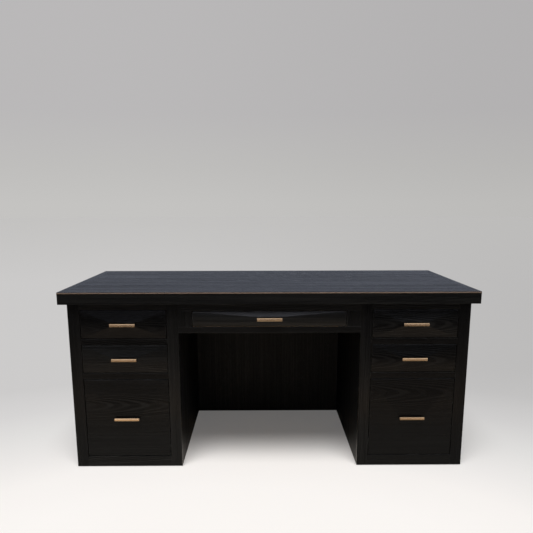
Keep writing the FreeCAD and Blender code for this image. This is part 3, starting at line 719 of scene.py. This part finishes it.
# Operators, one for each piece or group of like pieces

class MakeFinishes(bpy.types.Operator):
    """Make the oak, birch, brass, zinc and glide materials"""

    bl_idname = "desk.make_finishes"
    bl_label = "Make Finishes"

    def execute(self, context):
        make_finishes(context.scene.desk_finish)
        return {"FINISHED"}


class MakeTop(bpy.types.Operator):
    """Make the writing surface, its four mitred edges and the metal line let into them"""

    bl_idname = "desk.make_top"
    bl_label = "Make Top"

    def execute(self, context):
        shape = context.scene.desk_shape
        oak_boards(0, VENEER_ARRIS, "top_panel")
        low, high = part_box("top_front_edge")
        thick = high[1] - low[1]
        half_x, half_y = high[0], -low[1]
        line_low, line_high = [corner.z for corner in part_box("top_edge_line")]
        # Each corner is a distance in from the edge's outer face and a height.
        corners = (
            (thick, low[2]), (0, low[2]), (0, line_low), (shape.line_depth, line_low),
            (shape.line_depth, line_high), (0, line_high), (0, high[2]), (thick, high[2]),
        )
        setbacks = (0, shape.slab_arris, 0, 0, 0, VENEER_ARRIS, shape.slab_arris, 0)
        inwards, heights = eased_outline(corners, setbacks).T
        edges = (
            ("top_front_edge", 0, -1), ("top_back_edge", 0, 1),
            ("top_left_edge", 1, -1), ("top_right_edge", 1, 1),
        )
        for node, along, side in edges:
            reach, off = (half_x, half_y) if along == 0 else (half_y, half_x)
            run = np.array([-1, 1])[:, None] * (reach - inwards - MITRE_GAP)
            out = np.broadcast_to(side * (off - inwards), run.shape)
            pair = (run, out) if along == 0 else (out, run)
            rings = np.stack((*pair, np.broadcast_to(heights, run.shape)), axis=-1)
            lowest, highest = [np.array(corner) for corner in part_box(node)]
            shell = as_board(node, rings, (lowest + highest) / 2, (highest - lowest) / 2, along)
            add_piece(f"{node}_oak", [shell], OAK, "desk", "ebonised_oak", node)
        line = self.line(shape, half_x, half_y, line_low, line_high)
        add_piece("top_edge_line_brass", [line], LINE, "desk", "satin_brass", "top_edge_line")
        return {"FINISHED"}

    @staticmethod
    def line(shape, half_x, half_y, low, high):
        """A small section carried round the four corners of the top."""
        depth = shape.line_depth
        corners = ((0, low), (0, high), (depth, high), (depth, low))
        inwards, heights = eased_outline(corners, (LINE_ARRIS, LINE_ARRIS, 0, 0)).T
        side_x = np.array([1, -1, -1, 1])[:, None]
        side_y = np.array([1, 1, -1, -1])[:, None]
        x = side_x * (half_x - inwards)
        y = side_y * (half_y - inwards)
        rings = np.stack((x, y, np.broadcast_to(heights, x.shape)), axis=-1)
        half = (half_x, half_y, (high - low) / 2)
        return as_board("line", rings, np.array((0, 0, (low + high) / 2)), half, 0, joined=True)


class MakePedestals(bpy.types.Operator):
    """Make the boards of the two pedestals"""

    bl_idname = "desk.make_pedestals"
    bl_label = "Make Pedestals"

    def execute(self, context):
        arris = context.scene.desk_shape.arris
        for side in SIDES:
            uprights = ("outer_side", "back_panel", "outer_stile", "inner_stile")
            oak_boards(2, arris, *(f"{side}_{name}" for name in uprights))
            oak_boards(2, arris, f"{side}_inner_side", finish=SHADED_FLAT_OAK)
            oak_boards(0, arris, f"{side}_rails")
            dress(f"{side}_floor_panel", FRAME_BIRCH)
        return {"FINISHED"}


class MakeMiddle(bpy.types.Operator):
    """Make the boards between the pedestals"""

    bl_idname = "desk.make_middle"
    bl_label = "Make Middle"

    def execute(self, context):
        arris = context.scene.desk_shape.arris
        oak_boards(2, arris, "modesty_panel", finish=SHADED_FLAT_OAK)
        oak_boards(2, arris, "centre_end_blocks")
        oak_boards(0, arris, "centre_top_rail", "centre_bottom_rail")
        for node in ("centre_side_boards", "slide_cleats"):
            add_piece(f"{node}_birch", boards_of(node, 1, arris), BIRCH, "desk", "birch_box", node)
        dress("top_battens", FRAME_BIRCH)
        return {"FINISHED"}


class MakeFronts(bpy.types.Operator):
    """Make the seven drawer fronts, whose four slopes rise to a flat behind the pull"""

    bl_idname = "desk.make_fronts"
    bl_label = "Make Drawer Fronts"

    def execute(self, context):
        for drawer in DRAWERS:
            node = f"{drawer}_drawer_front"
            shell = self.front(context.scene.desk_shape, drawer, node)
            add_piece(f"{node}_oak", [shell], OAK, f"{drawer}_drawer", "ebonised_oak", node)
        return {"FINISHED"}

    @staticmethod
    def front(shape, drawer, node):
        """Rounded outlines stacked from the back of the front to its flat.

        The slopes run straight from the front arris to the flat, apart from the last outline but one,
        which lies a little off that line and so takes the sharpness off the flat's rim.
        """
        low, high = [np.array(corner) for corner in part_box(node)]
        middle, half = (low + high) / 2, (high - low) / 2
        pull_low, pull_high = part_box(f"{drawer}_pull")
        land = ((pull_high.x - pull_low.x) / 2 + shape.land_margin, shape.land_height / 2)
        base = low[1] + shape.relief
        arris = shape.front_arris
        inset, rise = arris_rows(arris)
        # How far the last two outlines are drawn in and raised, as shares of the way to the flat.
        drawn_in, raised = np.array([0.985, 1.0]), np.array([0.98, 1.0])
        corner = np.array([1.2 * MM, 0.8 * MM])

        def outlines(whole, flat):
            """Half sizes of the outlines along one axis."""
            rim = whole - inset[0]
            return np.concatenate((whole - inset, whole - inset[::-1], rim + drawn_in * (flat - rim)))

        radius = np.concatenate((arris - inset, (arris - inset)[::-1], corner))
        depth = np.concatenate((high[1] - rise, (base + rise)[::-1], base - shape.relief * raised))
        loops = rectangle_loops(outlines(half[0], land[0]), outlines(half[2], land[1]), radius, depth)
        rings = loops[..., [0, 2, 1]] + np.array((middle[0], 0, middle[2]))
        centre = np.array((middle[0], (base + high[1]) / 2, middle[2]))
        shell = as_board(node, rings, centre, (half[0], (high[1] - base) / 2, half[2]), 0)
        # The figure is a face veneer's: a slope is read as if it lay in the board's face.
        shell.board[:, 2] = np.clip(shell.board[:, 2], -shell.half[2], shell.half[2])
        return shell


class MakePulls(bpy.types.Operator):
    """Make the seven bar pulls with their posts and screws"""

    bl_idname = "desk.make_pulls"
    bl_label = "Make Pulls"

    def execute(self, context):
        for drawer in DRAWERS:
            node = f"{drawer}_pull"
            shells = self.bar_and_posts(drawer, node)
            add_piece(f"{node}_brass", shells, BRASS, f"{drawer}_drawer", "satin_brass", node)
        return {"FINISHED"}

    @staticmethod
    def bar_and_posts(drawer, node):
        """A bar carried along X with its ends drawn in, two posts and two domed screws."""
        solids = sorted(solid_boxes(node), key=lambda box: box[0][1])
        low, high = solids[0]
        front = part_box(f"{drawer}_drawer_front")[0].y
        middle = (low + high) / 2
        half = (high - low) / 2
        y_front, y_back = low[1], low[1] + BAR_THICKNESS
        y_flat, z_low, z_high = y_front + BAR_CHAMFER, low[2], high[2]
        corners = (
            (y_back, z_low), (y_flat, z_low), (y_front, z_low + BAR_CHAMFER),
            (y_front, z_high - BAR_CHAMFER), (y_flat, z_high), (y_back, z_high),
        )
        outline = eased_outline(corners, BAR_ARRIS)
        core = np.array(((y_front + y_back) / 2, middle[2]))
        inset, rise = arris_rows(BAR_END)
        run = np.concatenate((rise - half[0], (half[0] - rise)[::-1]))
        shrink = 1 - np.concatenate((inset, inset[::-1])) / (BAR_THICKNESS / 2)
        section = core + (outline - core) * shrink[:, None, None]
        x = np.broadcast_to((middle[0] + run)[:, None, None], (*section.shape[:2], 1))
        shells = [as_board(node, np.concatenate((x, section), axis=-1), middle, half, 0)]
        for screw_low, screw_high in solids[1:]:
            centre = (screw_low + screw_high) / 2
            width, reach = POST_WIDTH / 2, (front - y_back) / 2
            loops = rectangle_loops(width, width, POST_ARRIS, np.array([-1.0, 1.0]) * reach)
            rings = loops[..., [0, 2, 1]] + np.array((centre[0], (front + y_back) / 2, centre[2]))
            shells.append(as_board(node, rings, centre, (width, reach, width), 1))
            shells.append(screw_shell(node, screw_low, screw_high))
        return shells


def screw_shell(name, low, high):
    """A pan-head screw along Y with a hexagon socket.

    Each row is a place along the screw, a radius as a share of the head's, and 1 in the socket. There
    the radius is divided by the cosine of the angle from the middle of the nearest flat, which makes
    the circle a hexagon.
    """
    centre = (low + high) / 2
    head = (high[0] - low[0]) / 2
    tip, end = low[1], high[1]
    rows = np.array((
        (tip, THREAD * 0.7, 0), (tip + 1 * MM, THREAD, 0), (end - 2.6 * MM, THREAD, 0),
        (end - 2.6 * MM, 1, 0), (end - 1.4 * MM, 1, 0), (end - 0.6 * MM, 0.88, 0),
        (end - 0.1 * MM, 0.66, 0), (end, 0.5, 0), (end, 0.42, 1), (end - 1.3 * MM, 0.40, 1),
    ))
    angle = np.arange(24) * np.pi / 12
    hexagon = 1 / np.cos((angle + np.pi / 6) % (np.pi / 3) - np.pi / 6)
    radius = head * rows[:, 1:2] * np.where(rows[:, 2:] > 0, hexagon, 1)
    x, z = centre[0] + radius * np.cos(angle), centre[2] + radius * np.sin(angle)
    rings = np.stack((x, np.broadcast_to(rows[:, :1], radius.shape), z), axis=-1)
    return as_board(name, rings, centre, (high - low) / 2, 1)


class MakeBoxes(bpy.types.Operator):
    """Make the birch boxes of the drawers"""

    bl_idname = "desk.make_boxes"
    bl_label = "Make Drawer Boxes"

    def execute(self, context):
        for drawer in DRAWERS:
            node = f"{drawer}_drawer_box"
            shells = self.boards(context.scene.desk_shape, node)
            add_piece(f"{node}_birch", shells, BIRCH, f"{drawer}_drawer", "birch_box", node)
        return {"FINISHED"}

    @staticmethod
    def boards(shape, node):
        """Two sides, a front and a back between them, and a bottom that stops in their grooves."""
        (x0, y0, z0), (x1, y1, z1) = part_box(node)
        wall = shape.box_wall
        inner = wall - GROOVE_DEPTH
        bottom = z0 + shape.groove_rise
        top = z0 + (shape.groove_rise + shape.box_bottom)
        rows = (
            ("side a", (x0, y0, z0), (x0 + wall, y1, z1), 1),
            ("side b", (x1 - wall, y0, z0), (x1, y1, z1), 1),
            ("front", (x0 + wall, y0, z0), (x1 - wall, y0 + wall, z1), 0),
            ("back", (x0 + wall, y1 - wall, top), (x1 - wall, y1, z1), 0),
            ("bottom", (x0 + inner, y0 + inner, bottom), (x1 - inner, y1, top), 0),
        )
        arris = shape.arris * 0.8
        return [eased_board(f"{node} {name}", *span, along, arris) for name, *span, along in rows]


class DressHardware(bpy.types.Operator):
    """Give the slides, brackets and glides their plating"""

    bl_idname = "desk.dress_hardware"
    bl_label = "Dress Hardware"

    def execute(self, context):
        runners = [f"{drawer}_runners" for drawer in DRAWERS]
        middles = [f"{side}_file_middle_slides" for side in SIDES]
        for node in ["fixed_slides", "top_fixing_brackets", *runners, *middles]:
            dress(node, ZINC)
        dress("levelling_glides", GLIDE)
        return {"FINISHED"}


def floor_finish(studio):
    """A pale matt floor with a painted pool of light, which glows warm and bright in the desk's gloss.

    To the camera its colour falls off with the distance from the painted pool's middle, and towards the
    right as painted shade, along lines that meet at the camera. Past FADE_FROM it nears the backdrop's
    colour as 1 - FADE_FROM / distance.
    """
    finish = new_finish("studio_floor")
    place = finish.add("ShaderNodeTexCoord", output=3)
    along_x, along_y = finish.parts(place)[:2]
    ends = {0: place, 1: studio.painted_pool_place}
    away = finish.add("ShaderNodeVectorMath", {"operation": "DISTANCE"}, ends, output="Value")
    right = finish.ease(along_x / (along_y - studio.camera_place[1]), RIGHT_FROM, RIGHT_TO)
    far = finish.math("MAXIMUM", 1.0 - FADE_FROM / away, 0.0)
    # The painted pool of light, which fades to the far floor's colour.
    colour = finish.mix(far, finish.ramp(away / PAINTED_POOL_REACH, PAINTED_POOL), FLOOR_FAR_OFF)
    # Painted shade on the floor towards the right of the view.
    shaded = right * finish.ease(along_y, -0.7, 1.5) * (0.20 - far * 0.13)
    colour = finish.mix(shaded, colour, BLACK)
    camera, glossy = finish.camera_and_gloss()
    warm = finish.add(
        "ShaderNodeMix", {"data_type": "RGBA", "blend_type": "MULTIPLY"},
        {0: 1.0, 6: colour, 7: (1.0, 0.955, 0.90, 1.0)}, output=2,
    )
    # The light that the floor throws on the desk comes mostly from close in front of it.
    bounced = finish.mix(finish.ease(along_y, -0.8, -1.5) * 0.8, warm, BLACK)
    colour = finish.mix(camera, bounced, colour)
    paint = {"Base Color": colour, "Roughness": 0.8, "Specular IOR Level": 0.0}
    matt = finish.add("ShaderNodeBsdfPrincipled", (), paint)
    # To the camera the floor also glows a little: painted light that lifts the desk's shadow on it.
    glow = finish.add("ShaderNodeEmission", (), {"Color": (0.90, 0.89, 0.89, 1.0), "Strength": 1.0})
    lifted = finish.add("ShaderNodeMixShader", (), {0: camera * 0.12, 1: matt, 2: glow})
    # In gloss the floor glows as a painted reflection: a warm bright strip in front, brighter than the
    # lit floor, with the dark studio past it.
    strip = finish.ramp((-0.9 - along_y) / STRIP_REACH, FLOOR_IN_GLOSS)
    painted_reflection = finish.add("ShaderNodeEmission", (), {"Color": strip, "Strength": 2.0})
    in_gloss = glossy * finish.ease(along_y, -0.9, -1.3)
    seen = finish.add("ShaderNodeMixShader", (), {0: in_gloss, 1: lifted, 2: painted_reflection})
    finish.add("ShaderNodeOutputMaterial", (), {"Surface": seen})
    return finish.owner


class MakeStudio(bpy.types.Operator):
    """Make the floor, the background, the lamps and the camera"""

    bl_idname = "desk.make_studio"
    bl_label = "Make Studio"

    def execute(self, context):
        studio = context.scene.desk_studio
        self.floor(context, studio)
        self.background(context, studio)
        self.lamps(context, studio)
        self.camera(context, studio)
        context.scene.view_settings.view_transform = "Standard"
        return {"FINISHED"}

    @staticmethod
    def floor(context, studio):
        """A disc: at ring i and angle a the point is radius i times (cos a, sin a)."""
        around = 48
        radii = np.geomspace(0.5, studio.floor_radius, 8)[:, None]
        angle = np.linspace(0, 2 * np.pi, around, endpoint=False)
        x, y = radii * np.cos(angle), radii * np.sin(angle)
        points = np.stack((x, y, 0 * x), axis=-1).reshape(-1, 3)
        i, j = np.meshgrid(np.arange(len(radii) - 1) * around, np.arange(around), indexing="ij")
        a, b = i + j, i + (j + 1) % around
        quads = np.stack((a, a + around, b + around, b), axis=-1).reshape(-1, 4)
        mesh = bpy.data.meshes.new("studio_floor")
        mesh.from_pydata(points.tolist(), [], [*quads.tolist(), list(range(around))])
        floor = bpy.data.objects.new("studio_floor", mesh)
        context.scene.collection.objects.link(floor)
        mesh.materials.append(floor_finish(studio))

    @staticmethod
    def background(context, studio):
        """Pale grey behind the desk for the camera and in gloss, and an even soft light for the rest."""
        world = bpy.data.worlds.new("studio")
        context.scene.world = world
        finish = Finish(world)
        direction = finish.add("ShaderNodeTexCoord", output=0)
        along_x, along_y, height = finish.parts(direction)
        seen = finish.ramp(height, BACKDROP)
        # Painted shade on the background towards the right of the view.
        seen = finish.mix(finish.ease(along_x, RIGHT_FROM, RIGHT_TO) * 0.09, seen, BLACK)
        behind = finish.ease(along_y, -0.2, 0.3)
        gloss = finish.mix(behind, finish.ramp(height, FRONT_IN_GLOSS), BACK_IN_GLOSS)
        camera, glossy = finish.camera_and_gloss()
        colour = finish.mix(glossy, (studio.fill_strength,) * 3, gloss)
        colour = finish.mix(camera, colour, seen)
        light = finish.add("ShaderNodeBackground", (), {"Color": colour, "Strength": 1.0})
        finish.add("ShaderNodeOutputWorld", (), {"Surface": light})

    @staticmethod
    def lamps(context, studio):
        """One wide soft lamp high in front, as far off as a sun, so that it lights the floor evenly."""
        light = bpy.data.lights.new("key", "SUN")
        light.energy = studio.key_strength
        light.angle = studio.key_spread
        lamp = bpy.data.objects.new("key", light)
        lamp.rotation_euler = (math.pi / 2 - studio.key_height, 0, studio.key_side)
        lamp.visible_glossy = False
        context.scene.collection.objects.link(lamp)

    @staticmethod
    def camera(context, studio):
        """A camera that looks along +Y and down, with the desk low in its frame."""
        lens = bpy.data.cameras.new("photographer")
        lens.lens = studio.lens
        lens.sensor_width = 36.0
        lens.shift_y = studio.lens_rise
        camera = bpy.data.objects.new("photographer", lens)
        turn = Matrix.Rotation(studio.camera_yaw, 4, "Z")
        tilt = Matrix.Rotation(math.pi / 2 - studio.camera_pitch, 4, "X")
        lean = Matrix.Rotation(studio.camera_roll, 4, "Z")
        camera.matrix_world = Matrix.Translation(studio.camera_place) @ turn @ tilt @ lean
        context.scene.collection.objects.link(camera)
        context.scene.camera = camera


class DeskPanel(bpy.types.Panel):
    """The desk's operators, and the sizes and colours that they use"""

    bl_idname = "VIEW3D_PT_desk"
    bl_label = "Desk"
    bl_space_type = "VIEW_3D"
    bl_region_type = "UI"
    bl_category = "Desk"

    def draw(self, context):
        for operator in OPERATORS:
            self.layout.operator(operator.bl_idname)
        for group in (context.scene.desk_shape, context.scene.desk_finish, context.scene.desk_studio):
            column = self.layout.column()
            for name in group.bl_rna.properties.keys():
                if name not in ("rna_type", "name"):
                    column.prop(group, name)


OPERATORS = (
    MakeFinishes, MakeTop, MakePedestals, MakeMiddle, MakeFronts, MakePulls, MakeBoxes, DressHardware,
    MakeStudio,
)
CLASSES = (DeskShape, DeskFinish, DeskStudio, *OPERATORS, DeskPanel)


def register():
    for one in CLASSES:
        bpy.utils.register_class(one)
    bpy.types.Scene.desk_shape = PointerProperty(type=DeskShape)
    bpy.types.Scene.desk_finish = PointerProperty(type=DeskFinish)
    bpy.types.Scene.desk_studio = PointerProperty(type=DeskStudio)


def unregister():
    del bpy.types.Scene.desk_studio
    del bpy.types.Scene.desk_finish
    del bpy.types.Scene.desk_shape
    for one in reversed(CLASSES):
        bpy.utils.unregister_class(one)


def main():
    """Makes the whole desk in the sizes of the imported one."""
    register()
    bpy.ops.desk.make_finishes()
    bpy.ops.desk.make_top()
    bpy.ops.desk.make_pedestals()
    bpy.ops.desk.make_middle()
    bpy.ops.desk.make_fronts()
    bpy.ops.desk.make_pulls()
    bpy.ops.desk.make_boxes()
    bpy.ops.desk.dress_hardware()
    bpy.ops.desk.make_studio()


if __name__ == "__main__":
    main()
